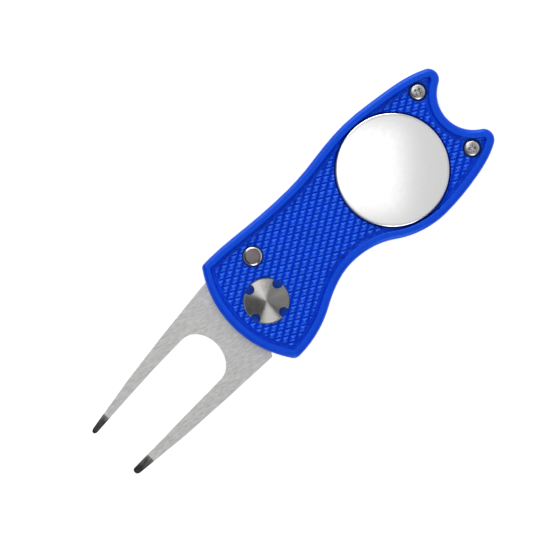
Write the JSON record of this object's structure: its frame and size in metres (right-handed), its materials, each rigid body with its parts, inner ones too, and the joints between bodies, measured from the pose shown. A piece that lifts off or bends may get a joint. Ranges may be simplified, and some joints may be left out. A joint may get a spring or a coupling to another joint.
{
  "type": "divot repair tool",
  "caption": "Folding golf divot repair tool: a spring-out two-pronged fork in a waisted handle, with a release button and a magnetic ball marker.",
  "frame": {"origin": "on the fork's pivot axis, on the flat round pad of the back shell", "axes": "+X along the handle from the fork end to the notched head, +Y towards the handle's spine, +Z out of the front face with the button and the marker"},
  "size_m": [0.1093, 0.0298, 0.0092],
  "materials": {
    "blue_moulding": "satin moulded, knurled panel in a smooth rim",
    "brushed_stainless": "fine brushed along the prongs, darkened ground tips",
    "turned_steel": "turned, with a radial sheen",
    "spring_steel": "drawn wire",
    "bronze": "rolled sheet",
    "brass": "knurled",
    "nickel_plate": "nickel plated",
    "polished_marker": "polished, bevelled edge, blank face"
  },
  "bodies": {
    "handle": {"front_shell": "blue_moulding", "back_shell": "blue_moulding", "spring_seat": "turned_steel", "button_spring": "spring_steel", "torsion_spring": "spring_steel", "front_washer": "bronze", "back_washer": "bronze", "stop_pin": "turned_steel", "upper_screw": "turned_steel", "lower_screw": "turned_steel", "upper_insert": "brass", "lower_insert": "brass", "marker_magnet": "nickel_plate"},
    "fork": {"fork": "brushed_stainless"},
    "release_button": {"release_button": "turned_steel"},
    "ball_marker": {"ball_marker": "polished_marker"}
  },
  "joints": [
    {"name": "fork_hinge", "type": "hinge", "parent": "handle", "child": "fork", "pos_m": [0, 0, 0.0045], "axis": [0, 0, 1], "range_deg": [0, 180], "stiffness_Nm_per_rad": 0.016, "springref_deg": -143.24, "deforming": ["torsion_spring"]},
    {"name": "button_press", "type": "slide", "parent": "handle", "child": "release_button", "axis": [0, 0, -1], "range_m": [0, 0.0012], "stiffness_N_per_m": 400, "springref_m": -0.004, "deforming": ["button_spring"]},
    {"name": "marker_lift", "type": "slide", "parent": "handle", "child": "ball_marker", "axis": [0, 0, 1], "range_m": [0, 0.012]}
  ]
}
